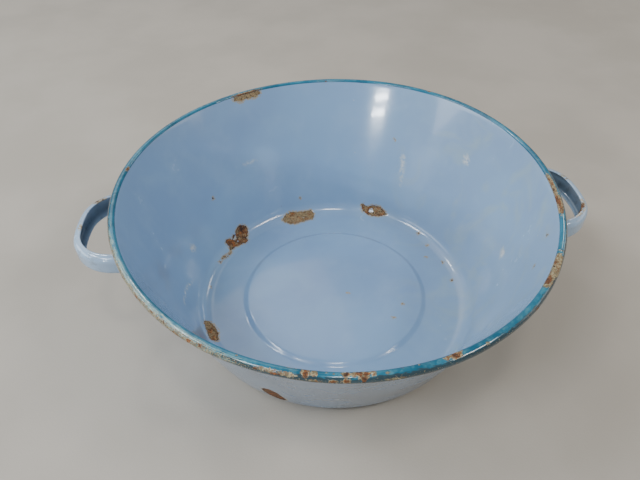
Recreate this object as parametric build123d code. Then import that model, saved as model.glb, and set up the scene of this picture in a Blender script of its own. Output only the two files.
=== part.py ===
from build123d import *
import os
from math import asin, atan2, cos, degrees, hypot, radians, sin, tan

# An enamelled steel dish basin: a drawn round bowl whose rim is rolled over a
# wire, with two channel-section loop handles spot-welded under the rim.
# Millimetres, +Z up. The origin is on the bowl's axis, at table height, and
# the two handles lie along X.

# ---- Bowl: driving dimensions ----
RIM_DIAMETER = 400.0      # over the rolled rim
HEIGHT = 145.5            # table to the top of the rim
SHEET = 1.0               # drawn steel with the enamel on its two faces
FLAT_RADIUS = 126.4       # where the flat of the base meets the corner
CORNER_RADIUS = 18.0      # outside of the corner between base and wall
PLATEAU_RADIUS = 90.7     # edge of the raised middle of the base
PLATEAU_RISE = 2.8
PLATEAU_SLOPE = 4.9       # width of the step down from the raised middle
STEP_FILLET = 4.0

# ---- Rolled rim ----
BEAD_RADIUS = 3.65        # the roll with its second coat of enamel
BAND_COAT = 0.35          # thickness of that second coat
BAND_START = 150.0        # degrees round the roll, 0 outward and 90 up
BAND_END = -95.0
CURL_END = -125.0         # where the sheet's edge ends, under the rim

# ---- Handles ----
HANDLE_REACH = 234.0      # from the bowl's axis to the outside of the loop
HANDLE_HALF_WIDTH = 49.0
HANDLE_HEIGHT = 107.0     # strap centre at the wall, above the table
HANDLE_TILT = 1.5         # the loop rises away from the wall, degrees
HANDLE_ROOT = 160.0       # inside the wall, where the untrimmed strap starts
LOOP_SIDE_RADIUS = 38.5
LOOP_TIP_HALF_ANGLE = 8.5
STRAP_HEIGHT = 19.5
STRAP_DEPTH = 6.2
STRAP_CORNER = 5.6
STRAP_SHEET = 1.2

# ---- Welded lugs at the handle ends ----
LUG_WIDTH = 26.0
LUG_HEIGHT = 24.0
LUG_CORNER = 8.0
LUG_OVERLAP = 7.0         # how far the lug reaches in under the strap
WELD_RADIUS = 2.5
WELD_DEPTH = 0.5          # into the wall and into the lug
WELD_SPACING = 12.0
WELD_INSET = 8.5          # from the outside of the strap

# ---- Worked out from the dimensions above ----
ROLL_CENTRE = (RIM_DIAMETER / 2 - BEAD_RADIUS, HEIGHT - BEAD_RADIUS)
CURL_RADIUS = BEAD_RADIUS - BAND_COAT
WIRE_RADIUS = CURL_RADIUS - SHEET
CORNER_CENTRE = (FLAT_RADIUS, CORNER_RADIUS)


def polar(centre, radius, angle):
    """A point of the half section, at an angle in degrees about a centre."""
    turn = radians(angle)
    return (centre[0] + radius * cos(turn), centre[1] + radius * sin(turn))


def arc(centre, radius, start, end):
    """An arc of the half section about a centre, from one angle to another."""
    middle = (start + end) / 2
    return ThreePointArc(*(polar(centre, radius, angle) for angle in (start, middle, end)))


def wall_angle():
    """The wall's rise in degrees: its inside touches both corner and roll."""
    run = ROLL_CENTRE[0] - CORNER_CENTRE[0]
    rise = ROLL_CENTRE[1] - CORNER_CENTRE[1]
    offset = CORNER_RADIUS - SHEET + CURL_RADIUS
    return degrees(atan2(rise, run) + asin(offset / hypot(run, rise)))


WALL_ANGLE = wall_angle()
WALL_FOOT = polar(CORNER_CENTRE, CORNER_RADIUS, WALL_ANGLE - 90)


def wall_radius(z):
    """Radius of the wall's outside at a height."""
    return WALL_FOOT[0] + (z - WALL_FOOT[1]) / tan(radians(WALL_ANGLE))


def turned(outline):
    """Revolve a half section about the bowl's axis."""
    return revolve(Plane.XZ * outline, Axis.Z)


def bowl_section():
    """Half section of the drawn bowl, base, corner, wall and rolled rim."""
    step_foot = PLATEAU_RADIUS + PLATEAU_SLOPE
    wall_turn = WALL_ANGLE + 90
    inside_corner = CORNER_RADIUS - SHEET
    edges = [
        Polyline((0, PLATEAU_RISE + SHEET), (PLATEAU_RADIUS, PLATEAU_RISE + SHEET),
                 (step_foot, SHEET), (FLAT_RADIUS, SHEET)),
        arc(CORNER_CENTRE, inside_corner, -90, WALL_ANGLE - 90),
        Line(polar(CORNER_CENTRE, inside_corner, WALL_ANGLE - 90),
             polar(ROLL_CENTRE, CURL_RADIUS, wall_turn)),
        arc(ROLL_CENTRE, CURL_RADIUS, wall_turn, CURL_END),
        Line(polar(ROLL_CENTRE, CURL_RADIUS, CURL_END),
             polar(ROLL_CENTRE, WIRE_RADIUS, CURL_END)),
        arc(ROLL_CENTRE, WIRE_RADIUS, CURL_END, wall_turn),
        Line(polar(ROLL_CENTRE, WIRE_RADIUS, wall_turn), WALL_FOOT),
        arc(CORNER_CENTRE, CORNER_RADIUS, WALL_ANGLE - 90, -90),
        Polyline((FLAT_RADIUS, 0), (step_foot, 0), (PLATEAU_RADIUS, PLATEAU_RISE),
                 (0, PLATEAU_RISE), (0, PLATEAU_RISE + SHEET)),
    ]
    section = make_face(edges)
    step_corners = [v for v in section.vertices() if PLATEAU_RADIUS - 1 < v.X < step_foot + 1]
    return fillet(step_corners, STEP_FILLET)


def rim_band():
    """The darker second coat of enamel over the rolled rim."""
    edges = [
        arc(ROLL_CENTRE, BEAD_RADIUS, BAND_START, BAND_END),
        Line(polar(ROLL_CENTRE, BEAD_RADIUS, BAND_END), polar(ROLL_CENTRE, CURL_RADIUS, BAND_END)),
        arc(ROLL_CENTRE, CURL_RADIUS, BAND_END, BAND_START),
        Line(polar(ROLL_CENTRE, CURL_RADIUS, BAND_START),
             polar(ROLL_CENTRE, BEAD_RADIUS, BAND_START)),
    ]
    return turned(make_face(edges))


def rim_wire():
    """The wire that the sheet's edge is rolled over."""
    return turned(Pos(*ROLL_CENTRE) * Circle(WIRE_RADIUS))


def strap_section():
    """Channel section of the strap: x is outward and y is up, open inward."""
    outer = Rectangle(2 * STRAP_DEPTH, STRAP_HEIGHT)
    outer = fillet(outer.vertices(), STRAP_CORNER)
    inner = Rectangle(2 * (STRAP_DEPTH - STRAP_SHEET), STRAP_HEIGHT - 2 * STRAP_SHEET)
    inner = fillet(inner.vertices(), STRAP_CORNER - STRAP_SHEET)
    open_side = Pos(-STRAP_DEPTH, 0) * Rectangle(2 * STRAP_DEPTH, STRAP_HEIGHT)
    return Pos(-STRAP_DEPTH, 0) * (outer - inner - open_side)


def loop_path():
    """Outside line of the loop seen from above: arms, side arcs and tip arc."""
    tip_angle = LOOP_TIP_HALF_ANGLE
    side_centre_y = HANDLE_HALF_WIDTH - LOOP_SIDE_RADIUS
    tip_radius = LOOP_SIDE_RADIUS + side_centre_y / sin(radians(tip_angle))
    tip_centre = (HANDLE_REACH - tip_radius, 0)
    side_end = polar(tip_centre, tip_radius, tip_angle)
    side_centre_x = side_end[0] - LOOP_SIDE_RADIUS * cos(radians(tip_angle))
    near_centre = (side_centre_x, side_centre_y)
    far_centre = (side_centre_x, -side_centre_y)
    edges = [
        Line((HANDLE_ROOT, HANDLE_HALF_WIDTH), (side_centre_x, HANDLE_HALF_WIDTH)),
        arc(near_centre, LOOP_SIDE_RADIUS, 90, tip_angle),
        arc(tip_centre, tip_radius, tip_angle, -tip_angle),
        arc(far_centre, LOOP_SIDE_RADIUS, -tip_angle, -90),
        Line((side_centre_x, -HANDLE_HALF_WIDTH), (HANDLE_ROOT, -HANDLE_HALF_WIDTH)),
    ]
    return Wire(edges)


def wall_blank(growth):
    """The cone inside the wall's outside face, grown by a thickness."""
    low, high = CORNER_RADIUS, ROLL_CENTRE[1]
    sideways = growth / sin(radians(WALL_ANGLE))
    outline = Polyline((0, low), (wall_radius(low) + sideways, low),
                       (wall_radius(high) + sideways, high), (0, high), close=True)
    return turned(make_face(outline))


def strap():
    """The loop's channel, tilted, and cut off at the wall."""
    start = Plane(origin=(HANDLE_ROOT, HANDLE_HALF_WIDTH, 0), x_dir=(0, 1, 0), z_dir=(1, 0, 0))
    bar = sweep(start * strap_section(), path=loop_path())
    wall_x = wall_radius(HANDLE_HEIGHT)
    tilt = Pos(wall_x, 0, HANDLE_HEIGHT) * Rot(0, -HANDLE_TILT, 0) * Pos(-wall_x, 0, 0)
    return tilt * bar - wall_blank(0)


def lug(side):
    """One flattened end, lying on the wall; side is 1 or -1 along Y."""
    middle_y = side * (HANDLE_HALF_WIDTH - LUG_OVERLAP + LUG_WIDTH / 2)
    outline = Pos(middle_y, HANDLE_HEIGHT) * RectangleRounded(LUG_WIDTH, LUG_HEIGHT, LUG_CORNER)
    prism = extrude(Plane.YZ * outline, HANDLE_REACH)
    return prism & (wall_blank(STRAP_SHEET) - wall_blank(0))


def spot_weld(side, height):
    """A fused nugget across the joint between a lug and the wall."""
    radius = wall_radius(height)
    y = side * (HANDLE_HALF_WIDTH + WELD_INSET)
    turn = degrees(asin(y / radius))
    across_wall = Rot(0, 180 - WALL_ANGLE, 0)
    nugget = Cylinder(WELD_RADIUS, 2 * WELD_DEPTH)
    return Rot(0, 0, turn) * Pos(radius, 0, height) * across_wall * nugget


def spot_welds():
    """The four nuggets of one handle, two on each lug."""
    heights = (HANDLE_HEIGHT - WELD_SPACING / 2, HANDLE_HEIGHT + WELD_SPACING / 2)
    return [spot_weld(side, height) for side in (1, -1) for height in heights]


def main():
    welds = spot_welds()
    right_handle = strap() + lug(1) + lug(-1)
    bowl = turned(bowl_section())
    half_turn = Rot(0, 0, 180)
    for weld in welds:
        right_handle -= weld
        bowl -= weld
        bowl -= half_turn * weld

    parts = {
        "basin_bowl": bowl,
        "rim_wire": rim_wire(),
        "rim_band_coat": rim_band(),
        "right_handle": right_handle,
        "left_handle": half_turn * right_handle,
        "right_handle_spot_welds": Compound(welds),
        "left_handle_spot_welds": half_turn * Compound(welds),
    }
    os.makedirs("parts", exist_ok=True)
    for name, shape in parts.items():
        export_step(shape, f"parts/{name}.step")


main()
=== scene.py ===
from math import asin, atan2, ceil, copysign, cos, degrees, hypot, pi, radians, sin, sqrt, tan

import bmesh
import bpy
from mathutils import Matrix, Vector, noise


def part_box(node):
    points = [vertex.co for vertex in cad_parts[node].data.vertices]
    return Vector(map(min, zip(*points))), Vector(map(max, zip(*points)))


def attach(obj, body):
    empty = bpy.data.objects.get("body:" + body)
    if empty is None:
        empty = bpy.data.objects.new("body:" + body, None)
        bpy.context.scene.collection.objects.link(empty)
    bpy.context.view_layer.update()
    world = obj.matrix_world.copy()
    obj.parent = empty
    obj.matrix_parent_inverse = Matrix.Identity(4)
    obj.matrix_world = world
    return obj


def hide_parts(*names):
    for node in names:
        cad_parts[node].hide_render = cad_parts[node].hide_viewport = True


# An old enamelled steel basin: light blue inside and out, a teal band over the
# rolled rim, and a channel-section loop handle on each side. Lengths are in
# metres, unless a name or comment says millimetres.
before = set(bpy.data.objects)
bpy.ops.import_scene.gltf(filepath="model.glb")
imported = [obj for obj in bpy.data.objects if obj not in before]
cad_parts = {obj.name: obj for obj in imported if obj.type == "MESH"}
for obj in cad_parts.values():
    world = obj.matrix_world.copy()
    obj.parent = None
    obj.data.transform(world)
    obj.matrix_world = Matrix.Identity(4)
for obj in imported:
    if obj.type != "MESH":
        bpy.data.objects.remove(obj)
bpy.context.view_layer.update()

MM = 0.001

# ---- Sizes read from the CAD frame ----
wire_low, wire_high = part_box("rim_wire")
band_low, band_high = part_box("rim_band_coat")
bowl_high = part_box("basin_bowl")[1]
handle_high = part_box("right_handle")[1]
WIRE_RADIUS = (wire_high.z - wire_low.z) / 2
BEAD_RADIUS = (band_high.z - band_low.z) / 2
BAND_COAT = band_high.z - bowl_high.z
CURL_RADIUS = BEAD_RADIUS - BAND_COAT
SHEET = CURL_RADIUS - WIRE_RADIUS
ROLL = (wire_high.x - WIRE_RADIUS, wire_high.z - WIRE_RADIUS)
HANDLE_REACH = handle_high.x
LUG_END = handle_high.y

# ---- Sizes that the frame's boxes don't give, as in the CAD ----
FLAT_RADIUS = 126.4 * MM
CORNER_RADIUS = 18.0 * MM
PLATEAU_RADIUS = 90.7 * MM
PLATEAU_RISE = 2.8 * MM
PLATEAU_SLOPE = 4.9 * MM
STEP_FILLET = 4.0 * MM
CURL_END = -125.0
BAND_START = 150.0
BAND_END = -95.0
HANDLE_HALF_WIDTH = 49.0 * MM
HANDLE_HEIGHT = 107.0 * MM
HANDLE_TILT = 1.5
LOOP_SIDE_RADIUS = 38.5 * MM
LOOP_TIP_HALF_ANGLE = 8.5
STRAP_HEIGHT = 19.5 * MM
STRAP_DEPTH = 6.2 * MM
STRAP_CORNER = 5.6 * MM
STRAP_SHEET = 1.3 * MM    # with its enamel
LUG_HEIGHT = 24.0 * MM
LUG_CORNER = 8.0 * MM
WELD_RADIUS = 2.5 * MM
WELD_SPACING = 12.0 * MM
WELD_INSET = 8.5 * MM


# ---- Small helpers ----
def ease(t):
    """0 to 1 with a soft start and end."""
    t = min(max(t, 0.0), 1.0)
    return t * t * (3 - 2 * t)


def between(low, high, value):
    """How far value has gone from low to high, eased, from 0 to 1."""
    return ease((value - low) / (high - low))


def polar(centre, radius, angle):
    """A point of a half section (r, z), at an angle in degrees about a centre."""
    return (centre[0] + radius * cos(radians(angle)), centre[1] + radius * sin(radians(angle)))


# ---- Half sections, walked by path length ----
class Outline:
    """A half section of a turned piece, made of straight runs and arcs.

    The solid is on the right of the walk, so normals point to its left.
    """

    def __init__(self, start):
        self.runs = []
        self.stops = [0.0]
        self.end = start

    @property
    def length(self):
        return self.stops[-1]

    def add(self, length, at, cell):
        steps = max(1, ceil(length / cell - 0.01))
        begin = self.length
        self.runs.append((begin, length, at))
        self.stops += [begin + length * i / steps for i in range(1, steps + 1)]
        self.end = at(length)[:2]
        return self

    def line(self, end, cell):
        """A straight run to a point, in steps of about one cell."""
        r0, z0 = self.end
        length = hypot(end[0] - r0, end[1] - z0)
        ur, uz = (end[0] - r0) / length, (end[1] - z0) / length
        return self.add(length, lambda s: (r0 + ur * s, z0 + uz * s, -uz, ur), cell)

    def arc(self, centre, radius, start, end, cell):
        """An arc about a centre between two angles in degrees."""
        way = copysign(1.0, end - start)

        def at(s):
            angle = start + way * degrees(s / radius)
            r, z = polar(centre, radius, angle)
            return (r, z, -way * cos(radians(angle)), -way * sin(radians(angle)))

        return self.add(abs(radians(end - start)) * radius, at, cell)

    def bend(self, corner, radius, onward, cell):
        """A straight run towards a corner, rounded off so that it heads onward."""
        heading = atan2(corner[1] - self.end[1], corner[0] - self.end[0])
        leaving = atan2(onward[1] - corner[1], onward[0] - corner[0])
        turn = leaving - heading
        back = radius * tan(abs(turn) / 2)
        begin = (corner[0] - back * cos(heading), corner[1] - back * sin(heading))
        side = copysign(1.0, turn)
        centre = (begin[0] - side * radius * sin(heading), begin[1] + side * radius * cos(heading))
        self.line(begin, cell)
        start = degrees(heading) - side * 90
        return self.arc(centre, radius, start, start + degrees(turn), cell / 2)

    def at(self, path):
        """(r, z, normal r, normal z) at a path length from the start."""
        for begin, length, at in reversed(self.runs):
            if path >= begin - 1e-9:
                return at(min(path - begin, length))
        return self.runs[0][2](0.0)


def wall_angle():
    """The wall's rise in degrees: its inside touches both the corner and the roll."""
    run, rise = ROLL[0] - FLAT_RADIUS, ROLL[1] - CORNER_RADIUS
    offset = CORNER_RADIUS - SHEET + CURL_RADIUS
    return degrees(atan2(rise, run) + asin(offset / hypot(run, rise)))


WALL_ANGLE = wall_angle()
CORNER = (FLAT_RADIUS, CORNER_RADIUS)
WALL_FOOT = polar(CORNER, CORNER_RADIUS, WALL_ANGLE - 90)


def wall_radius(z):
    """Radius of the wall's outside at a height, before it sprang out of round."""
    return WALL_FOOT[0] + (z - WALL_FOOT[1]) / tan(radians(WALL_ANGLE))


def bowl_outline():
    """Inside from the middle out, over the roll, and back along the outside."""
    step_foot = PLATEAU_RADIUS + PLATEAU_SLOPE
    top, turn = PLATEAU_RISE + SHEET, WALL_ANGLE + 90
    o = Outline((0.0, top))
    o.line((PLATEAU_RADIUS * 0.9, top), 6 * MM)
    o.bend((PLATEAU_RADIUS, top), STEP_FILLET, (step_foot, SHEET), 2 * MM)
    o.bend((step_foot, SHEET), STEP_FILLET, (FLAT_RADIUS, SHEET), 2 * MM)
    o.line((FLAT_RADIUS, SHEET), 3.2 * MM)
    o.arc(CORNER, CORNER_RADIUS - SHEET, -90, WALL_ANGLE - 90, 1.6 * MM)
    o.line(polar(ROLL, CURL_RADIUS, turn), 3.4 * MM)
    o.arc(ROLL, CURL_RADIUS, turn, CURL_END, 0.8 * MM)
    o.line(polar(ROLL, WIRE_RADIUS, CURL_END), 1 * MM)
    o.arc(ROLL, WIRE_RADIUS, CURL_END, turn, 1.2 * MM)
    o.line(WALL_FOOT, 3.6 * MM)
    o.arc(CORNER, CORNER_RADIUS, WALL_ANGLE - 90, -90, 1.8 * MM)
    o.bend((step_foot, 0.0), STEP_FILLET, (PLATEAU_RADIUS, PLATEAU_RISE), 4 * MM)
    o.bend((PLATEAU_RADIUS, PLATEAU_RISE), STEP_FILLET, (0.0, PLATEAU_RISE), 2 * MM)
    o.line((0.0, PLATEAU_RISE), 7 * MM)
    return o


def band_outline():
    """The second coat of enamel over the roll, thinning out at both edges."""
    thin = 0.06 * MM
    taper = 12.0
    shift = BAND_COAT - thin
    o = Outline(polar(ROLL, CURL_RADIUS + thin, BAND_START))
    o.line(polar(ROLL, BEAD_RADIUS, BAND_START - taper), 0.4 * MM)
    o.arc(ROLL, BEAD_RADIUS, BAND_START - taper, BAND_END + taper, 0.62 * MM)
    o.line(polar(ROLL, BEAD_RADIUS - shift, BAND_END), 0.4 * MM)
    o.line(polar(ROLL, CURL_RADIUS - thin, BAND_END), 1 * MM)
    o.arc(ROLL, CURL_RADIUS - thin, BAND_END, BAND_START, 1.8 * MM)
    o.line(polar(ROLL, CURL_RADIUS + thin, BAND_START), 1 * MM)
    return o


def wire_outline():
    """The wire inside the roll."""
    o = Outline(polar(ROLL, WIRE_RADIUS, 180))
    return o.arc(ROLL, WIRE_RADIUS, 180, -180, 1.2 * MM)


# ---- How years of use bent the bowl ----
OVAL = 0.0200             # the rim is this share longer and shorter than round
OVAL_TURN = radians(-86.2)
LOBED = 0.0084
LOBED_TURN = radians(37.7)
BEND_POWER = 1.25         # the wall bends more and more towards the rim
DENT_DEPTH = 0.30 * MM
DENT_SIZE = 55 * MM


def sprung(angle, z):
    """How far the wall stands from round at an angle and height, as a share of its radius."""
    height = min(max((z - CORNER_RADIUS) / (ROLL[1] - CORNER_RADIUS), 0.0), 1.0)
    oval = OVAL * cos(2 * (angle - OVAL_TURN))
    lobed = LOBED * cos(3 * (angle - LOBED_TURN))
    return height ** BEND_POWER * (oval + lobed)


def used_radius(radius, angle, z):
    """Where a radius of the round design stands on the used basin."""
    up = between(CORNER_RADIUS * 0.5, CORNER_RADIUS * 3, z)
    place = Vector((cos(angle), sin(angle), 0)) * (ROLL[0] / DENT_SIZE)
    dent = DENT_DEPTH * noise.noise(place + Vector((0, 0, z / DENT_SIZE)))
    return radius * (1 + sprung(angle, z)) + up * dent


def bent(radius, angle, z):
    """A point of the round design, as it is on the used basin."""
    r = used_radius(radius, angle, z) if radius > MM else radius
    return Vector((r * cos(angle), r * sin(angle), z))


# ---- Where the enamel broke off ----
CHIP_FADE = 3.0           # chip values run this many millimetres out of the edge
RAGGED = 0.8              # how far edges wander, in millimetres


def ragged(x, y, size, seed):
    """Smooth noise, about -1 to 1, that changes over size millimetres."""
    return noise.noise(Vector((x / size, y / size, seed / MM)))


class Chip:
    """A broken-off place on a turned surface, down to the rusted steel.

    Its outline is in millimetres about its middle: along the turn, then along
    the section's path. Islands are round bits of enamel left inside it.
    """

    def __init__(self, degrees_round, path, outline, tone=0.5, depth=0.35, islands=()):
        self.angle = radians(degrees_round)
        self.path = path * MM
        self.outline = outline
        self.tone = tone
        self.depth = depth * MM
        self.islands = islands
        self.reach = max(hypot(x, y) for x, y in outline) + CHIP_FADE
        self.width = max(abs(x) for x, y in outline)
        self.length = max(abs(y) for x, y in outline)

    def local(self, angle, path, radius):
        """Millimetres along the turn and along the path from the chip's middle."""
        turn = (angle - self.angle + pi) % (2 * pi) - pi
        return turn * radius / MM, (path - self.path) / MM

    def near(self, x, y, margin):
        """Whether a place is in the outline's box, grown by a margin."""
        return abs(x) < self.width + margin and abs(y) < self.length + margin

    def inside(self, x, y):
        """Millimetres in from the ragged edge, negative outside it."""
        if hypot(x, y) > self.reach:
            return -CHIP_FADE
        into = edge_distance(self.outline, x, y)
        for middle_x, middle_y, size in self.islands:
            into = min(into, hypot(x - middle_x, y - middle_y) - size)
        coarse, fine = ragged(x, y, 2.6, self.path), ragged(x, y, 1.0, self.path)
        return into + RAGGED * (coarse + 0.9 * fine)


def edge_distance(outline, x, y):
    """Distance from a closed outline, positive inside it."""
    within = False
    nearest = CHIP_FADE * 9
    for (x0, y0), (x1, y1) in zip(outline, outline[1:] + outline[:1]):
        dx, dy = x1 - x0, y1 - y0
        share = ((x - x0) * dx + (y - y0) * dy) / (dx * dx + dy * dy)
        share = min(max(share, 0.0), 1.0)
        nearest = min(nearest, hypot(x - x0 - share * dx, y - y0 - share * dy))
        if (y0 > y) != (y1 > y) and x < x0 + (y - y0) / dy * dx:
            within = not within
    return nearest if within else -nearest


def spot(radius, longer=1.0):
    """A round outline, or an oval one, longer along the turn."""
    return [(longer * radius * cos(pi * i / 5), radius * sin(pi * i / 5)) for i in range(10)]


# Outlines in millimetres: along the turn, then along the section's path.
COMMA = [(-1, 9.5), (-6, 12.5), (-10, 13), (-14, 11.5), (-17.5, 7), (-17, 3), (-14.5, -0.5),
         (-10, -3.5), (-8, -5), (-8, -8), (-4, -9), (4.5, -6), (10.5, -4.5), (19, -3.5), (16.5, 1),
         (17.5, 8.5), (13.5, 9), (9, 6.5), (5, 2), (2, 2), (1.5, 5.5)]
HOOK = [(0, 8), (4.5, 7.8), (8.5, 4), (7, 3.2), (4, 5.2), (1, 5.6)]
LONG_PATCH = [(19.5, 2), (13.5, 7.5), (6.5, 9), (-2, 6.5), (-12, 5.5), (-18.5, 6.5), (-20.5, 1),
              (-19, -4), (-16, -8), (-4.5, -9.5), (7, -10), (12.5, -7.5), (16.5, -3)]
EYE = [(16, 4.5), (14, 6.5), (9.5, 3.5), (6, 4), (2.5, 6.5), (-7.5, 6.5), (-15, 2), (-17.5, -0.5),
       (-13.5, -3), (-8, -5.5), (-0.5, -7), (7.5, -5.5), (14, -1.5)]
LENS = [(-10, 6.5), (-13.5, 5), (-13.5, 1), (-8.5, -3), (-3, -5), (4, -5), (13.5, -2.5), (14, 0.5),
        (12, 5), (9, 6), (-1, 5.5)]
FOOT_PATCH = [(-11, 0), (-6, -9), (0, -13), (5, -7), (8, 8), (9.5, 15), (5, 21), (-1.5, 21),
              (-7.5, 18), (-11, 12)]
RIM_STRIP = [(-16, -2), (-8, -4), (2, -3), (9, -4.5), (16, -1.5), (15, 3), (-15, 3)]
# Degrees round the axis, and the path in millimetres from the bowl's middle.
BOWL_CHIPS = [
    Chip(137.9, 138.8, COMMA, 0.5, islands=[(3, -1.2, 0.9)]),
    Chip(137.9, 138.8, HOOK, 0.3),
    Chip(103.5, 132.4, LONG_PATCH, 0.74, islands=[(-6.5, -2.5, 0.9)]),
    Chip(63.8, 141.2, EYE, 0.66, islands=[(2.4, -0.5, 2.8)]),
    Chip(-162.7, 133.6, LENS, 0.72),
    Chip(-116.4, 436.3, FOOT_PATCH, 0.45),
    Chip(114, 286.5, RIM_STRIP, 0.95, depth=0.2),
]
# Small pits: degrees round, path, radius, tone.
PITS = [
    (140.7, 198.6, 0.8, 0.4), (-20.9, 72.7, 0.7, 0.5), (-38.1, 70.2, 0.6, 0.5), (-19.1, 14.5, 0.6, 0.4),
    (170.9, 133.3, 0.7, 0.3), (36.6, 136.7, 1.1, 0.6), (28.4, 130.5, 1, 0.5), (21.5, 117.3, 0.8, 0.1),
    (14.6, 130.1, 0.7, 0.5), (2, 128.7, 0.7, 0.4), (155, 136.3, 0.8, 0.3), (150.6, 134.3, 0.6, 0.3),
    (-22.2, 271.5, 0.9, 0.2), (-29.9, 255, 0.8, 0.2), (100.5, 155.6, 0.6, 0.3), (60, 231, 0.6, 0.5),
    (-74, 214, 0.7, 0.4), (-140, 243, 0.6, 0.4), (131, 420, 1.2, 0.5), (12, 452, 1.6, 0.6),
    (74, 478, 1.3, 0.7), (-58, 470, 1, 0.4), (-171, 398, 0.9, 0.4), (48, 391, 1.1, 0.5),
]
BOWL_CHIPS += [Chip(turn, path, spot(size), tone, depth=0.25) for turn, path, size, tone in PITS]
# Knocks on the outside, mostly round the foot: degrees round, path, half the width, times longer, tone.
KNOCKS = [
    (-64, 470, 2, 3.4, 0.5), (-22, 474, 1.5, 3, 0.3), (35, 468, 2.6, 3.2, 0.6),
    (81, 475, 1.4, 2.6, 0.4), (126, 471, 2.1, 2.9, 0.7), (161, 476, 1.6, 5.5, 0.5),
    (-148, 469, 2.3, 2.4, 0.4), (-96, 477, 1.3, 5, 0.5), (57, 362, 2.2, 1.3, 0.6),
    (8, 446, 1.6, 1.4, 0.5), (-171, 352, 1.4, 1.8, 0.4), (103, 401, 1.2, 1.2, 0.6),
]
BOWL_CHIPS += [Chip(turn, path, spot(size, longer), tone, depth=0.3)
               for turn, path, size, longer, tone in KNOCKS]
# Shallow scrapes below the comma, where grit has dragged along the corner.
SCRAPE = [(-4.5, 0.4), (-1, 1.1), (3, 0.7), (4.5, -0.3), (1, -0.8), (-3, -0.6)]
for degrees_round, path in ((151.5, 136), (148, 133.5)):
    BOWL_CHIPS.append(Chip(degrees_round, path, SCRAPE, 0.9, depth=0.08))

# Pale rubbed marks, placed like the chips: the enamel is dulled, not broken, and painted whiter, partly
# real rubbing and partly a painted highlight.
CURVED_RUB = [(-26, -14), (-14, -5), (0, 1), (14, 4), (26, 5), (14, 2.5), (0, -1), (-14, -7.5)]
LONG_RUB = [(-9, -1), (-3, 0.6), (4, 0.9), (9, 0), (4, -0.8), (-3, -0.7)]
TALL_RUB = [(-2.5, -20), (0, -14), (1.5, 0), (4, 15), (2.5, 19), (-1.5, 12), (-2.5, -2)]
BROAD_RUB = [(-4, -3), (0, -4.5), (4, -2), (4.5, 3), (0, 5), (-4, 3)]
RUBS_AND_SHEENS = [
    Chip(-176, 170, CURVED_RUB), Chip(-44, 205, LONG_RUB), Chip(54.5, 200, TALL_RUB),
    Chip(163, 176, BROAD_RUB), Chip(30, 240, BROAD_RUB), Chip(-9, 205, BROAD_RUB),
    Chip(119, 214, LONG_RUB), Chip(-96, 420, LONG_RUB), Chip(60, 430, TALL_RUB),
]


def deepest(chips, angle, path, radius):
    """The chip that a place is furthest into, and by how many millimetres."""
    best, best_into = None, -CHIP_FADE
    for chip in chips:
        x, y = chip.local(angle, path, radius)
        if chip.near(x, y, CHIP_FADE):
            into = chip.inside(x, y)
            if into > best_into:
                best, best_into = chip, into
    return best, best_into


# ---- Turned meshes ----
BOWL_SEGMENTS = 336
RIM_SEGMENTS = 1500
WIRE_SEGMENTS = 360
CHIP_CUTS = 4             # each face beside a chip is divided this often
CHIP_LUMPS = 3 / 16       # the share of a chip's depth that its uneven floor takes up
SAME_PLACE = 0.002 * MM


def add_object(name, mesh):
    obj = bpy.data.objects.new(name, mesh)
    bpy.context.scene.collection.objects.link(obj)
    return obj


def add_piece(name, bm, material):
    """A smooth-shaded piece from a bmesh."""
    bm.normal_update()
    for face in bm.faces:
        face.smooth = True
    mesh = bpy.data.meshes.new(name)
    bm.to_mesh(mesh)
    bm.free()
    mesh.materials.append(material)
    return add_object(name, mesh)


def new_layers(bm, names):
    """Values to keep on a mesh's vertices, which the materials read by name."""
    for name in names:
        bm.verts.layers.float.new(name)
    return [bm.verts.layers.float[name] for name in names]


def store(v, layers, values):
    for layer, value in zip(layers, values):
        v[layer] = value


def unrolled_grid(outline, segments):
    """A flat grid whose x is the angle about the axis and whose y is the path length."""
    bm = bmesh.new()
    columns = [2 * pi * i / segments for i in range(segments + 1)]
    rows = [[bm.verts.new((angle, path, 0)) for angle in columns] for path in outline.stops]
    for low, high in zip(rows, rows[1:]):
        for i in range(segments):
            bm.faces.new((low[i], high[i], high[i + 1], low[i + 1]))
    return bm


def refine(bm, outline, chips):
    """Divide the flat grid's faces on and beside the chips."""
    margin = 1.0
    edges = set()
    for face in bm.faces:
        middle = face.calc_center_median()
        radius = outline.at(middle.y)[0]
        for chip in chips:
            if chip.near(*chip.local(middle.x, middle.y, radius), margin):
                edges.update(face.edges)
                break
    bmesh.ops.subdivide_edges(bm, edges=list(edges), cuts=CHIP_CUTS, use_grid_fill=True)


def roll_up(bm, outline, wear):
    """Turn the flat grid into the round surface.

    wear(vertex, angle, path, radius) stores the vertex's wear and gives the
    depth that has gone from the surface there.
    """
    for v in bm.verts:
        angle, path = v.co.x, v.co.y
        r, z, normal_r, normal_z = outline.at(path)
        gone = wear(v, angle, path, r)
        v.co = bent(r - normal_r * gone, angle, z - normal_z * gone)
    bmesh.ops.remove_doubles(bm, verts=bm.verts, dist=SAME_PLACE)


def bowl_enamel():
    """The whole drawn bowl, with its chips cut into it."""
    outline = bowl_outline()
    bm = unrolled_grid(outline, BOWL_SEGMENTS)
    refine(bm, outline, BOWL_CHIPS)
    layers = new_layers(bm, ("chip", "tone", "rub_and_sheen", "outside"))
    inside_end = outline.length / 2

    def wear(v, angle, path, radius):
        rub_and_sheen = between(-1.5, 1.5, deepest(RUBS_AND_SHEENS, angle, path, radius)[1])
        chip, into = deepest(BOWL_CHIPS, angle, path, radius)
        tone = chip.tone if chip else 0.5
        store(v, layers, (into, tone, rub_and_sheen, path > inside_end))
        if chip is None:
            return 0.0
        smooth = 1 - between(-0.4, 0.4, ragged(angle * radius / MM, path / MM, 1.6, 0.0))
        return chip.depth * between(-0.1, 0.7, into) * (1 - CHIP_LUMPS * smooth)

    roll_up(bm, outline, wear)
    return add_piece("bowl_enamel", bm, blue_enamel())


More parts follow.
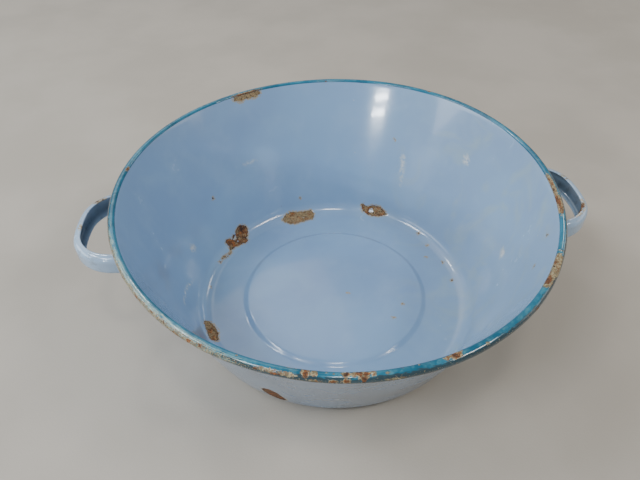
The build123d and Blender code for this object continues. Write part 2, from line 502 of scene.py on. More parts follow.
# ---- Wear on the rolled rim ----
# Each is degrees round the axis, degrees round the roll (0 outward, 90 up), then
# half the size in millimetres along the rim and round the roll.
RIM_RUST = [
    (-104.4, 140, 3.4, 0.9), (-101.5, 118, 2, 1.3), (-101.6, 72, 1.6, 2.6), (-96.7, 12, 1.8, 1.1),
    (-94.3, 22, 2, 1.3), (-94.4, 98, 2.2, 1.7), (-92, 100, 2, 1.9), (-90.8, 92, 1.7, 1.6),
    (-91.3, 38, 1.4, 2.4), (-73.8, 98, 3.2, 2.5), (-76.1, 133, 0.7, 0.5), (-84.2, 118, 0.6, 0.6),
    (-38, 118, 5, 0.7), (-44, 108, 5.5, 2.2), (-13.5, 128, 6.5, 1.5), (-15, 106, 7, 1.3),
    (-18.4, 94, 4, 1.6), (-5, 124, 2.2, 0.7), (-7.2, 112, 2.5, 0.6), (-9.6, 122, 2.2, 0.8),
    (114, 138, 15, 0.9), (111, 118, 3, 0.8), (86.6, 138, 1.2, 0.7), (167.2, 124, 2.4, 1),
    (-143, 12, 2.6, 1.1), (-137, 32, 1.8, 1), (-132.9, 38, 1.6, 0.9), (-125.6, 22, 2, 1.2),
    (-122.7, 40, 1.6, 1), (-129, 8, 3.4, 0.8), (-150, 10, 2.2, 0.8), (-163.5, 28, 1.6, 1),
    (-107, 22, 2.6, 0.8), (-111, 28, 1.4, 0.7), (24, 16, 3, 1.1), (52, 84, 1.4, 1),
    (141, 30, 2.2, 0.9), (71, 48, 1.2, 0.8), (-52, 14, 2, 0.8),
]
RIM_CREAM = [
    (-101.6, 92, 3.4, 3), (-100.1, 92, 2.2, 2.4), (-97.9, 108, 0.7, 0.5), (-96.5, 94, 0.8, 0.6),
    (-94.4, 96, 3, 2.3), (-92.9, 96, 2, 2.2), (-91.4, 84, 4.2, 3.2), (-89.6, 94, 2, 2.4),
    (-93, 139, 10, 0.35), (-87, 86, 1.2, 0.9), (-73.8, 98, 4.4, 3.2), (-75.4, 96, 2.6, 1.6),
    (-72.6, 122, 1.8, 0.8), (-82.6, 139, 1.6, 0.4), (-81, 110, 1, 0.9), (-66.9, 64, 1.4, 1),
    (-33.3, 98, 0.6, 2.4), (-37, 96, 9, 4), (-40.5, 98, 12, 4.6), (-44.6, 100, 7, 3.4),
    (-8, 120, 20, 2.6), (-15.5, 112, 15, 3.6), (-105, 42, 6, 1.6), (-109, 44, 7, 1.3),
    (-115.1, 102, 1.4, 0.8), (-96.7, 16, 2.8, 1.6), (-94.3, 24, 3.2, 1.8), (-104.4, 138, 4.4, 1.2),
    (114, 130, 17, 1.3), (167.2, 122, 3.4, 1.5), (-100, 10, 4, 0.9), (-86, 8, 5, 0.8),
    (24, 20, 4.6, 1.9), (52, 84, 2.2, 1.5), (141, 34, 3.4, 1.5), (71, 50, 2, 1.2),
]
# The long stretch worn through to green, and how softly it ends: degrees round the axis.
WORN_FROM, WORN_TO, WORN_FADE = -179.0, -104.0, 22.0
WORN_EDGE = 92.0          # how far up the roll it is worn, in degrees
CREST_TURN = 84.0         # where the roll's paler crest is, in degrees
RUST_GONE = 0.20 * MM
CREAM_GONE = 0.09 * MM
WORN_GONE = 0.04 * MM
EDGE_FADE = 0.4 * MM      # nothing is gone from the coat's very edge


def into_oval(x, y, half_long, half_wide):
    """Roughly how far in from an oval's edge a place is, negative outside it."""
    return (1 - hypot(x / half_long, y / half_wide)) * min(half_long, half_wide)


def rim_patches(patches, angle, turn, seed):
    """Millimetres in from the nearest patch's ragged edge, negative outside it."""
    best = -CHIP_FADE
    for degrees_round, degrees_roll, half_long, half_wide in patches:
        around = (degrees(angle) - degrees_round + 180) % 360 - 180
        x = radians(around) * ROLL[0] / MM
        if abs(x) > half_long + CHIP_FADE:
            continue
        y = radians(turn - degrees_roll) * BEAD_RADIUS / MM
        best = max(best, into_oval(x, y, half_long, half_wide))
    along = angle * ROLL[0] / MM
    across = radians(turn) * BEAD_RADIUS / MM
    return best + 0.6 * ragged(along, across, 1.9, seed) + 0.5 * ragged(along, across, 0.8, seed)


def wander(along, degrees_off, size, seed):
    """How far an edge on the rim strays up or down the roll, in degrees."""
    return degrees_off * ragged(along, 0.0, size, seed)


def worn_through(angle, turn, along):
    """0 to 1 where the long stretch of the rim is worn, up to a wandering edge."""
    around = (degrees(angle) + 180) % 360 - 180
    stretch = min(between(WORN_FROM, WORN_FROM + WORN_FADE, around),
                  1 - between(WORN_TO - WORN_FADE, WORN_TO, around))
    edge = WORN_EDGE + wander(along, 14, 14.0, 0.0)
    return stretch * (1 - between(edge - 12, edge + 12, turn))


def rim_band():
    """The teal second coat over the rolled rim, chipped and worn."""
    outline = band_outline()
    bm = unrolled_grid(outline, RIM_SEGMENTS)
    layers = new_layers(bm, ("rust", "cream", "worn", "crest", "low", "along", "across"))
    outside_end = outline.length / 2      # the rest lies against the sheet

    def wear(v, angle, path, radius):
        if path > outside_end:
            return 0.0
        turn = degrees(atan2(outline.at(path)[1] - ROLL[1], radius - ROLL[0]))
        along = angle * ROLL[0] / MM
        rust = rim_patches(RIM_RUST, angle, turn, 1 * MM)
        cream = rim_patches(RIM_CREAM, angle, turn, 2 * MM)
        worn = worn_through(angle, turn, along)
        # The crest: where the teal is painted paler, partly wear and partly a painted highlight.
        off_crest = abs(turn - CREST_TURN - wander(along, 16, 30.0, 3 * MM))
        crest = 1 - between(12, 48, off_crest)
        low = 1 - between(32, 88, turn + wander(along, 14, 9.0, 5 * MM))
        store(v, layers, (rust, cream, worn, crest, low, along, path / MM))
        gone = max(RUST_GONE * between(-0.2, 0.5, rust), CREAM_GONE * between(-0.2, 0.4, cream))
        gone = max(gone, WORN_GONE * worn * between(-0.5, 0.5, ragged(along, turn / 20, 2.2, 0.0)))
        return gone * between(0.0, EDGE_FADE, path)

    roll_up(bm, outline, wear)
    return add_piece("rim_band_enamel", bm, teal_enamel())


def rim_wire():
    """The wire inside the roll."""
    outline = wire_outline()
    bm = unrolled_grid(outline, WIRE_SEGMENTS)
    roll_up(bm, outline, lambda v, angle, path, radius: 0.0)
    return add_piece("rim_wire_ring", bm, bare_steel())


# ---- Handles ----
BEND_RADIUS = 4.5 * MM    # where an arm turns out along the wall
SEAT = 0.10 * MM          # the lug sinks this far into the wall's enamel
STRAP_WEB = STRAP_HEIGHT / 2 - STRAP_CORNER
STRAP_FLAT = STRAP_DEPTH - STRAP_CORNER
STRAP_BEND = (STRAP_CORNER - STRAP_SHEET / 2) * pi / 2
STRAP_HALF = STRAP_WEB + STRAP_BEND + STRAP_FLAT
LUG_SHEET = STRAP_SHEET / sin(radians(WALL_ANGLE))
# The loop seen from above: a tip arc, two side arcs and two arms.
TIP_TURN = radians(LOOP_TIP_HALF_ANGLE)
SIDE_Y = HANDLE_HALF_WIDTH - LOOP_SIDE_RADIUS
TIP_RADIUS = LOOP_SIDE_RADIUS + SIDE_Y / sin(TIP_TURN)
TIP_X = HANDLE_REACH - TIP_RADIUS
SIDE_X = TIP_X + SIDE_Y / tan(TIP_TURN)
BEND_Y = HANDLE_HALF_WIDTH + BEND_RADIUS
WELD_DIMPLE = 0.6 * MM    # how far the electrodes pressed into the lug
WAVE_DEPTH = 0.12 * MM    # the loop isn't pressed quite evenly
WAVE_SIZE = 22 * MM
LOOP_CHIP_DEPTH = 0.18 * MM
LOOP_CHIP_TONE = 0.6
HALF_OPENED = 0.55        # how far the channel has opened out where the bend starts
SECTION_STEPS = 18
EDGE_STEPS = 5
STATIONS = {"tip": 7, "side": 30, "arm": 16, "bend": 12, "lug": 26}
# Enamel off the loops: handle, millimetres from its tip, millimetres up round its
# section from the middle, and half the size each way.
LOOP_CHIPS = [
    ("right", 19, 11.2, 1.1, 0.8), ("right", 24.5, 11.6, 1, 0.7), ("right", -27, 11.8, 5, 1.3),
    ("right", -36, 12.5, 5.5, 0.8), ("left", -37, 11, 2.4, 1.5), ("left", -43, 12.2, 1.6, 0.8),
    ("right", 60, -3, 1.2, 0.9), ("left", 24, -10.5, 1.4, 1.1), ("right", 8, -8.5, 0.9, 0.8),
    ("left", 5, 12.3, 1.4, 0.7),
]


def on_arc(x, y, radius, angle):
    """A place on an arc seen from above, and the direction outward there."""
    return (x + radius * cos(angle), y + radius * sin(angle), cos(angle), sin(angle))


def strap_place(run, share, z, turn, side):
    """(x, y, normal x, normal y) of the strap's outside at a station and height.

    Worked out on the +Y side of the +X handle; turn and side say which part of
    the used wall it meets.
    """
    if run == "tip":
        return on_arc(TIP_X, 0.0, TIP_RADIUS, share * TIP_TURN)
    if run == "side":
        return on_arc(SIDE_X, SIDE_Y, LOOP_SIDE_RADIUS, TIP_TURN + share * (pi / 2 - TIP_TURN))

    def lug_radius(round_axis):
        return used_radius(wall_radius(z), turn + side * round_axis, z) + LUG_SHEET - SEAT

    meet = lug_radius(asin(BEND_Y / ROLL[0])) + BEND_RADIUS
    bend_x = sqrt(meet ** 2 - BEND_Y ** 2)
    start = atan2(BEND_Y, bend_x)
    if run == "arm":
        return (SIDE_X + share * (bend_x - SIDE_X), HANDLE_HALF_WIDTH, 0.0, 1.0)
    if run == "bend":
        a = 1.5 * pi - share * (pi / 2 - start)
        return (bend_x + BEND_RADIUS * cos(a), BEND_Y + BEND_RADIUS * sin(a), -cos(a), -sin(a))
    end = asin(LUG_END / (meet - BEND_RADIUS))
    a = start + share * (end - start)
    return on_arc(0.0, 0.0, lug_radius(a), a)


def strap_section(curl, half):
    """The strap's section as a closed ring of (outward, up, reach, inner).

    curl goes from 1, the channel, to 0, flat; half is half its developed height,
    reach is the distance from the middle round the section, and inner is 1 on
    the inner face.
    """
    scale = half / STRAP_HALF
    out, up = -STRAP_SHEET / 2, 0.0
    middle = [(out, up, 0.0, 0.0)]
    for i in range(SECTION_STEPS):
        reach = (i + 0.5) / SECTION_STEPS * half
        lean = curl * pi / 2 * min(max((reach / scale - STRAP_WEB) / STRAP_BEND, 0.0), 1.0)
        out -= sin(lean) * half / SECTION_STEPS
        up += cos(lean) * half / SECTION_STEPS
        middle.append((out, up, lean, (i + 1) / SECTION_STEPS * half))
    offset = STRAP_SHEET / 2
    out, up, lean, lip = middle[-1]
    outer = [(o + offset * cos(a), u + offset * sin(a), d, 0.0) for o, u, a, d in middle]
    inner = [(o - offset * cos(a), u - offset * sin(a), d, 1.0) for o, u, a, d in middle]
    turns = [lean + pi * i / EDGE_STEPS for i in range(1, EDGE_STEPS)]
    edge = [(out + offset * cos(a), up + offset * sin(a), lip, 0.5) for a in turns]
    top = outer + edge + inner[::-1]
    bottom = [(o, -u, -d, i) for o, u, d, i in top[1:-1]]
    return top + bottom[::-1]


def section_at(run, share):
    """The section at a station: channel along the loop, unrolled flat into the lug."""
    flat = {"tip": 0.0, "side": 0.0, "arm": HALF_OPENED * between(0.45, 1.0, share),
            "bend": HALF_OPENED + (1 - HALF_OPENED) * between(0.0, 0.6, share), "lug": 1.0}[run]
    half = STRAP_HALF + flat * (LUG_HEIGHT / 2 - STRAP_HALF)
    if run == "lug":
        lug_length = LUG_END - HANDLE_HALF_WIDTH - BEND_RADIUS
        past = max(0.0, LUG_CORNER - (1 - share) * lug_length)
        half -= LUG_CORNER - sqrt(max(LUG_CORNER ** 2 - past ** 2, 0.0))
    return strap_section(1 - flat, half)


def loop_stations():
    """(run, share, distance from the tip) down one half of the loop."""
    found = [("tip", 0.0)]
    for run, steps in STATIONS.items():
        found += [(run, (i + 1) / steps) for i in range(steps)]
    places = [strap_place(run, share, HANDLE_HEIGHT, 0.0, 1)[:2] for run, share in found]
    distance, listed = 0.0, []
    for i, (run, share) in enumerate(found):
        if i:
            distance += hypot(places[i][0] - places[i - 1][0], places[i][1] - places[i - 1][1])
        listed.append((run, share, distance))
    return listed


def weld_dip(y, z):
    """How far the two welds' electrodes pressed into the lug at a place."""
    dip = 0.0
    for height in (-WELD_SPACING / 2, WELD_SPACING / 2):
        away = hypot(y - HANDLE_HALF_WIDTH - WELD_INSET, z - HANDLE_HEIGHT - height)
        dip = max(dip, WELD_DIMPLE * (1 - between(WELD_RADIUS * 0.55, WELD_RADIUS * 1.35, away)))
    return dip


def loop_chip(name, distance, reach):
    """Millimetres in from the nearest chip's edge on a loop."""
    best = -CHIP_FADE
    for handle, along, across, half_long, half_wide in LOOP_CHIPS:
        if handle == name:
            x, y = distance / MM - along, reach / MM - across
            best = max(best, into_oval(x, y, half_long, half_wide))
    return best + 0.35 * ragged(distance / MM, reach / MM, 1.4, 0.0)


def loop_point(run, share, side, turn, section_point, chip):
    """Where one point of the section stands, on the handle at a turn about the axis."""
    out, up, _, inner = section_point
    z = HANDLE_HEIGHT + up
    x, y, normal_x, normal_y = strap_place(run, share, z, turn, side)
    if inner == 0 and run == "lug":
        out -= weld_dip(y, z)
    free = {"tip": 1.0, "side": 1 - share}.get(run, 0.0)
    out += free * WAVE_DEPTH * noise.noise(Vector((x, side * y, z)) / WAVE_SIZE)
    out -= (inner < 1) * LOOP_CHIP_DEPTH * between(-0.1, 0.6, chip)
    rise = max(0.0, x - wall_radius(HANDLE_HEIGHT)) * tan(radians(HANDLE_TILT))
    point = Vector((x + out * normal_x, side * (y + out * normal_y), z + rise))
    return Matrix.Rotation(turn, 3, "Z") @ point


def channel_dirt_and_shade(reach, inner):
    """0 to 1 on the channel's inner face: dirt and painted shade, heaviest on its lower half."""
    share_up = reach / STRAP_HALF
    deep = between(-1.0, -0.5, share_up) * (1 - between(-0.3, 0.6, share_up))
    return inner * (0.2 + 0.8 * deep)


def handle_loop(name, turn):
    """A pressed channel bent into a loop, its ends flattened on the wall."""
    bm = bmesh.new()
    layers = new_layers(bm, ("chip", "tone", "inner"))
    half = loop_stations()
    stations = [(*station, -1) for station in reversed(half[1:])] + [(*station, 1) for station in half]
    rings = []
    for run, share, distance, side in stations:
        ring = []
        for section_point in section_at(run, share):
            reach, inner = section_point[2:]
            chip = loop_chip(name, side * distance, reach) if inner < 1 else -CHIP_FADE
            v = bm.verts.new(loop_point(run, share, side, turn, section_point, chip))
            store(v, layers, (chip, LOOP_CHIP_TONE, channel_dirt_and_shade(reach, inner)))
            ring.append(v)
        rings.append(ring)
    join_rings(bm, rings)
    for ring in (rings[0], rings[-1]):
        close_end(bm, ring)
    bmesh.ops.recalc_face_normals(bm, faces=bm.faces)
    return add_piece(name + "_handle_loop", bm, handle_enamel())


def join_rings(bm, rings):
    """A band of faces between each closed ring and the next."""
    count = len(rings[0])
    for ring, onward in zip(rings, rings[1:]):
        for i in range(count):
            j = (i + 1) % count
            bm.faces.new((ring[i], ring[j], onward[j], onward[i]))


def close_end(bm, ring):
    """Join the outer and inner faces of the sheet across its cut end."""
    half = len(ring) // 2
    for side in (1, -1):
        for i in range(SECTION_STEPS):
            bm.faces.new([ring[side * k] for k in (i, i + 1, half - i - 1, half - i)])
        bm.faces.new([ring[side * k] for k in range(SECTION_STEPS, half - SECTION_STEPS + 1)])


def weld_nuggets(name, turn):
    """The four fused nuggets between a handle's lugs and the wall."""
    bm = bmesh.new()
    half_thick = 0.45 * MM
    for side in (-1, 1):
        for height in (-WELD_SPACING / 2, WELD_SPACING / 2):
            z = HANDLE_HEIGHT + height
            y = HANDLE_HALF_WIDTH + WELD_INSET
            radius = wall_radius(z)
            angle = turn + side * asin(y / radius)
            lens(bm, used_radius(radius, angle, z), angle, z, half_thick)
    return add_piece(name + "_weld_nuggets", bm, bare_steel())


def lens(bm, radius, angle, z, half_thick):
    """One nugget: a disc, thickest in its middle, lying along the wall."""
    segments, steps = 28, 5
    across = (Matrix.Rotation(angle, 4, "Z") @ Matrix.Translation((radius, 0, z))
              @ Matrix.Rotation(radians(180 - WALL_ANGLE), 4, "Y"))
    turns = [2 * pi * k / segments for k in range(segments)]
    rings = []
    for i in range(1 - steps, steps):
        share = 1 - abs(i) / steps
        r, thick = WELD_RADIUS * share, copysign(half_thick, i) * sqrt(1 - share ** 2)
        rings.append([bm.verts.new(across @ Vector((r * cos(a), r * sin(a), thick))) for a in turns])
    join_rings(bm, rings)
    for ring, face in ((rings[0][::-1], -1), (rings[-1], 1)):
        pole = bm.verts.new(across @ Vector((0, 0, face * half_thick)))
        for k in range(segments):
            bm.faces.new((pole, ring[k], ring[(k + 1) % segments]))


# ---- Colours, as a screen shows them ----
def srgb(red, green, blue):
    """A screen colour, 0 to 255, in Blender's linear light."""
    levels = [level / 255 for level in (red, green, blue)]
    return tuple(((level + 0.055) / 1.055) ** 2.4 for level in levels) + (1.0,)


BLUE_DEEP = srgb(124, 155, 193)
BLUE = srgb(133, 167, 202)
BLUE_PALE = srgb(160, 187, 211)
# Painted light: the handles are painted paler than the bowl's enamel.
HANDLE_PAINTED_LIGHT = srgb(184, 204, 222)
TEAL_DEEP = srgb(18, 86, 112)
TEAL = srgb(36, 114, 142)
# Paler teal for the crest: partly wear, partly a painted highlight.
TEAL_PALE = srgb(98, 156, 166)
CREAM = srgb(160, 150, 116)
WHITE_COAT = srgb(214, 212, 200)
PALE_GREEN = srgb(128, 166, 166)
# Grey for the bowl's outside, dirt and painted shade, and for the handles' scuffs.
OUTSIDE_GREY = srgb(118, 124, 128)
OLIVE = srgb(104, 98, 72)
BROKEN_EDGE = srgb(168, 154, 122)
THIN_CREAM = srgb(172, 182, 160)
GRIME = srgb(44, 54, 54)
RUST_DARK = srgb(58, 38, 29)
RUST_BROWN = srgb(118, 76, 44)
RUST_ORANGE = srgb(166, 100, 48)
RUST_DUST = srgb(152, 138, 104)
STAIN = srgb(164, 178, 174)
# Dirt and painted shade down inside the handles' channels.
CHANNEL_DIRT_AND_SHADE = srgb(36, 52, 60)
STEEL = srgb(120, 112, 104)
STEEL_DARK = srgb(70, 60, 54)
FLOOR_LIGHT = srgb(178, 172, 162)
FLOOR_DARK = srgb(170, 164, 154)


# ---- Materials ----
class Surface:
    """A material's nodes, written as short calls."""

    def __init__(self, name):
        self.material = bpy.data.materials.new(name)
        self.material.use_nodes = True
        self.tree = self.material.node_tree
        self.shader = self.tree.nodes["Principled BSDF"]
        self.place = self.node("TexCoord").outputs["Object"]

    def node(self, kind, inputs=None, **settings):
        made = self.tree.nodes.new("ShaderNode" + kind)
        for key, value in settings.items():
            setattr(made, key, value)
        for key, value in (inputs or {}).items():
            self.feed(made.inputs[key], value)
        return made

    def feed(self, socket, value):
        if isinstance(value, bpy.types.NodeSocket):
            self.tree.links.new(value, socket)
        else:
            socket.default_value = value

    def noise(self, scale, detail=3.0, warp=0.0, place=None):
        inputs = {"Vector": place or self.place, "Scale": scale, "Detail": detail, "Distortion": warp}
        return self.node("TexNoise", inputs).outputs["Fac"]

    def stretched(self, turn, scale):
        """The surface's coordinates, turned and then scaled along each axis."""
        inputs = {"Vector": self.place, "Rotation": [radians(a) for a in turn], "Scale": scale}
        return self.node("Mapping", inputs).outputs["Vector"]

    def spots(self, scale, size, share):
        """Sparse round specks: their spacing, size in cells, and the share of cells with one."""
        cells = self.node("TexVoronoi", {"Vector": self.place, "Scale": scale})
        chosen = self.node("SeparateColor", {"Color": cells.outputs["Color"]}).outputs["Red"]
        speck = self.flip(self.step(cells.outputs["Distance"], size * 0.6, size))
        return self.times(speck, self.step(chosen, 1 - share, 1 - share * 0.9))

    def step(self, value, low, high):
        inputs = {"Value": value, "From Min": low, "From Max": high}
        return self.node("MapRange", inputs, interpolation_type="SMOOTHSTEP").outputs["Result"]

    def maths(self, operation, first, second):
        return self.node("Math", {0: first, 1: second}, operation=operation).outputs[0]

    def times(self, first, second):
        return self.maths("MULTIPLY", first, second)

    def plus(self, first, second):
        return self.maths("ADD", first, second)

    def flip(self, value):
        return self.maths("SUBTRACT", 1.0, value)

    def centred(self, value):
        return self.maths("SUBTRACT", value, 0.5)

    def blend(self, share, first, second):
        node = self.node("Mix", {0: share, 6: first, 7: second}, data_type="RGBA")
        return node.outputs[2]

    def stored(self, name):
        """A value kept on the mesh's vertices."""
        return self.node("Attribute", attribute_name=name).outputs["Fac"]

    def worn_edge(self, name, beyond=0.0):
        """0 to 1 over the ragged edge of a stored distance, moved out by some millimetres."""
        grain = self.centred(self.noise(850, 4))
        into = self.plus(self.stored(name), self.times(grain, 2.8))
        return self.step(into, -0.2 - beyond, 0.2 - beyond)

    def rust(self, tone):
        """Rust's colour: dark where tone is 0, and orange and dusty where it is 1."""
        lean = self.times(self.centred(tone), 0.2)
        blotch = self.plus(self.noise(230, 5, 0.8), lean)
        colour = self.blend(self.step(blotch, 0.32, 0.50), RUST_DARK, RUST_BROWN)
        colour = self.blend(self.step(blotch, 0.48, 0.70), colour, RUST_ORANGE)
        grit = self.plus(self.times(self.noise(1300, 3, 0.4), 0.5), self.times(self.noise(170, 4), 0.5))
        dusty = self.step(self.plus(grit, self.times(lean, 2.2)), 0.51, 0.59)
        colour = self.blend(self.times(dusty, 0.8), colour, RUST_DUST)
        pitted = self.noise(800, 5, 0.4)
        return self.blend(self.times(self.step(pitted, 0.50, 0.57), 0.75), colour, RUST_DARK)

    def finish(self, colour, roughness, height):
        """Feed the shader; height is in metres."""
        self.feed(self.shader.inputs["Base Color"], colour)
        self.feed(self.shader.inputs["Roughness"], roughness)
        relief = self.node("Bump", {"Height": height, "Distance": 1.0, "Strength": 1.0})
        self.feed(self.shader.inputs["Normal"], relief.outputs["Normal"])
        return self.material


def enamel_ground(s):
    """Light blue enamel: its colour, and how dull it has worn from 0 to 1."""
    cloud = s.noise(7, 3, 0.4)
    mottle = s.noise(30, 5, 0.3)
    smear = s.noise(1.0, 4, 0.5, s.stretched((8, 20, 35), (14, 34, 20)))
    colour = s.blend(s.step(cloud, 0.30, 0.70), BLUE_DEEP, BLUE)
    colour = s.blend(s.times(s.step(mottle, 0.42, 0.78), 0.18), colour, BLUE_PALE)
    dull = s.times(s.step(smear, 0.44, 0.76), s.step(s.noise(120, 4), 0.30, 0.70))
    colour = s.blend(s.times(dull, 0.14), colour, BLUE_PALE)
    scratch = s.noise(1.0, 2, 0.2, s.stretched((0, 10, 25), (1100, 12, 26)))
    other = s.noise(1.0, 2, 0.3, s.stretched((15, 0, -50), (24, 1200, 30)))
    scratches = s.maths("MAXIMUM", s.step(scratch, 0.76, 0.82), s.step(other, 0.77, 0.83))
    colour = s.blend(s.times(scratches, 0.04), colour, WHITE_COAT)
    specks = s.spots(62, 0.040, 0.14)
    colour = s.blend(s.times(specks, 0.5), colour, RUST_BROWN)
    pale = s.spots(70, 0.060, 0.08)
    colour = s.blend(s.times(pale, 0.35), colour, WHITE_COAT)
    return colour, s.plus(dull, s.times(scratches, 0.2))


def chipped(s, colour, dull):
    """Add stored chips to enamel and finish the material."""
    edge = s.worn_edge("chip")
    crumbs = s.times(s.worn_edge("chip", 1.7), s.step(s.noise(600, 4, 0.5), 0.42, 0.50))
    colour = s.blend(s.times(crumbs, 0.9), colour, BROKEN_EDGE)
    tone = s.stored("tone")
    rim = s.times(s.flip(s.step(s.stored("chip"), 0.3, 1.6)), s.flip(tone))
    rust = s.blend(s.times(rim, 1.2), s.rust(tone), RUST_DARK)
    colour = s.blend(edge, colour, rust)
    gloss = s.plus(s.times(dull, 0.16), s.plus(0.11, s.times(s.noise(80, 4), 0.08)))
    roughness = s.plus(s.times(gloss, s.flip(edge)), s.times(edge, 0.86))
    peel = s.times(s.noise(90, 3), 0.03 * MM)
    crust = s.times(s.times(s.noise(900, 5), edge), 0.5 * MM)
    s.feed(s.shader.inputs["Coat Weight"], s.times(s.flip(edge), 0.5))
    s.shader.inputs["Coat Roughness"].default_value = 0.06
    return s.finish(colour, roughness, s.plus(peel, crust))


def blue_enamel():
    """The bowl's enamel: faintly stained inside on the right, and greyed outside with dirt and painted
    shade.
    """
    s = Surface("worn_blue_enamel")
    colour, dull = enamel_ground(s)
    axes = s.node("SeparateXYZ", {"Vector": s.place}).outputs
    clouds = s.step(s.noise(24, 4, 1.2), 0.5, 0.7)
    stain = s.times(s.step(axes["X"], 20 * MM, 170 * MM), s.plus(0.35, s.times(clouds, 0.5)))
    colour = s.blend(s.times(stain, 0.55), colour, STAIN)
    outside = s.stored("outside")
    # Dirt and painted shade: the whole outside is painted greyer, more in blotches.
    soot_and_shade = s.times(outside, s.plus(0.30, s.times(s.step(s.noise(18, 5, 0.8), 0.4, 0.7), 0.35)))
    colour = s.blend(soot_and_shade, colour, OUTSIDE_GREY)
    foot = s.times(outside, s.flip(s.step(axes["Z"], 0.0, 22 * MM)))
    scuffed = s.times(foot, s.step(s.noise(260, 5, 0.7), 0.40, 0.62))
    colour = s.blend(s.times(scuffed, 0.55), colour, GRIME)
    # Painted highlight, partly real rubbing: the rubs are painted whiter.
    rub_and_sheen = s.times(s.stored("rub_and_sheen"), s.step(s.noise(260, 4), 0.34, 0.56))
    colour = s.blend(s.times(rub_and_sheen, 0.7), colour, WHITE_COAT)
    return chipped(s, colour, s.plus(s.plus(dull, rub_and_sheen), s.plus(s.times(outside, 0.5), scuffed)))


def handle_enamel():
    """The same enamel, painted paler all over as painted light, and darker down inside the channel with
    dirt and painted shade.
    """
    s = Surface("worn_handle_enamel")
    colour, dull = enamel_ground(s)
    # Painted light: the whole handle is a paler, lit copy of the blue enamel.
    colour = s.blend(0.42, colour, HANDLE_PAINTED_LIGHT)
    scuffs = s.step(s.noise(150, 5, 0.8), 0.56, 0.70)
    colour = s.blend(s.times(scuffs, 0.35), colour, OUTSIDE_GREY)
    # Painted shade with dirt: the channel's inner face is painted darker, most on its lower half.
    dirt_and_shade = s.times(s.stored("inner"), s.plus(0.25, s.times(s.noise(60, 4), 0.7)))
    colour = s.blend(dirt_and_shade, colour, CHANNEL_DIRT_AND_SHADE)
    return chipped(s, colour, dull)


def rim_noise(s, along, across, detail):
    """Noise that runs along the rim, with its scale per millimetre each way."""
    flat = {"X": s.times(s.stored("along"), along), "Y": s.times(s.stored("across"), across)}
    return s.noise(1.0, detail, 0.4, s.node("CombineXYZ", flat).outputs["Vector"])


def teal_coat(s):
    """Sound teal enamel, paler on its crest: partly worn thin, partly a painted highlight."""
    colour = s.blend(s.step(s.noise(30, 4, 0.6), 0.35, 0.65), TEAL_DEEP, TEAL)
    # Painted highlight, partly real wear: the crest is painted paler teal.
    crest = s.times(s.stored("crest"), s.step(s.noise(170, 5, 0.6), 0.42, 0.70))
    colour = s.blend(s.times(crest, 0.45), colour, TEAL_PALE)
    dots = s.step(s.noise(520, 4), 0.60, 0.68)
    return s.blend(s.times(dots, 0.5), colour, TEAL_DEEP)


def first_coat(s):
    """The cream coat under the teal, pitted and stained."""
    grain = s.noise(900, 4, 0.4)
    colour = s.blend(s.step(s.noise(420, 5, 0.5), 0.42, 0.58), CREAM, OLIVE)
    colour = s.blend(s.times(s.step(grain, 0.62, 0.70), 0.7), colour, WHITE_COAT)
    return s.blend(s.flip(s.step(grain, 0.41, 0.48)), colour, RUST_BROWN)


def thinned_share(s, worn):
    """0 to 1 where the teal has worn thin, in streaks along the rim."""
    streaks = s.centred(rim_noise(s, 0.10, 1.6, 5))
    thinned = s.step(s.plus(worn, s.times(streaks, 3.4)), 0.55, 0.95)
    return s.times(thinned, s.step(worn, 0.05, 0.35))


def bitten_share(s, worn, low):
    """0 to 1 where small bites have gone down to the cream coat."""
    grain = s.centred(rim_noise(s, 0.8, 1.2, 5))
    eaten = s.plus(s.times(worn, 0.42), s.times(low, 0.48))
    bitten = s.step(s.plus(eaten, s.times(grain, 2.4)), 0.74, 0.86)
    return s.times(bitten, s.step(s.plus(worn, low), 0.05, 0.3))


def teal_enamel():
    """The rim's second coat: dirty low down, and worn through in patches."""
    s = Surface("worn_teal_enamel")
    low, worn = s.stored("low"), s.stored("worn")
    blots = s.centred(rim_noise(s, 0.22, 0.9, 5))
    grime = s.times(s.step(s.plus(low, s.times(blots, 2.4)), 0.30, 0.75), s.step(low, 0.02, 0.3))
    colour = s.blend(s.times(grime, 0.8), teal_coat(s), GRIME)
    thinned = thinned_share(s, worn)
    pale = s.blend(s.step(rim_noise(s, 0.5, 1.5, 4), 0.50, 0.58), PALE_GREEN, THIN_CREAM)
    colour = s.blend(s.times(thinned, 0.75), colour, pale)
    cream = s.maths("MAXIMUM", s.worn_edge("cream"), bitten_share(s, worn, low))
    colour = s.blend(cream, colour, first_coat(s))
    rust = s.worn_edge("rust")
    colour = s.blend(rust, colour, s.rust(s.plus(0.12, s.times(s.noise(90, 2), 0.6))))
    bare = s.maths("MAXIMUM", cream, rust)
    gloss = s.plus(0.08, s.plus(s.times(s.noise(120, 4), 0.08), s.times(thinned, 0.12)))
    roughness = s.plus(s.times(gloss, s.flip(bare)), s.times(bare, s.plus(0.45, s.times(rust, 0.4))))
    crust = s.times(s.times(s.noise(900, 5), bare), 0.3 * MM)
    s.feed(s.shader.inputs["Coat Weight"], s.times(s.flip(bare), 0.6))
    s.shader.inputs["Coat Roughness"].default_value = 0.05
    return s.finish(colour, roughness, s.plus(s.times(s.noise(160, 3), 0.04 * MM), crust))


def bare_steel():
    """Dull steel, browned by rust in places."""
    s = Surface("dull_steel")
    patch = s.step(s.noise(120, 5, 0.5), 0.42, 0.62)
    colour = s.blend(s.step(s.noise(50, 4), 0.4, 0.6), STEEL, STEEL_DARK)
    colour = s.blend(patch, colour, s.rust(s.noise(70, 2)))
    s.feed(s.shader.inputs["Metallic"], s.times(s.flip(patch), 0.8))
    roughness = s.plus(0.42, s.times(patch, 0.4))
    return s.finish(colour, roughness, s.times(s.noise(700, 5), 0.2 * MM))


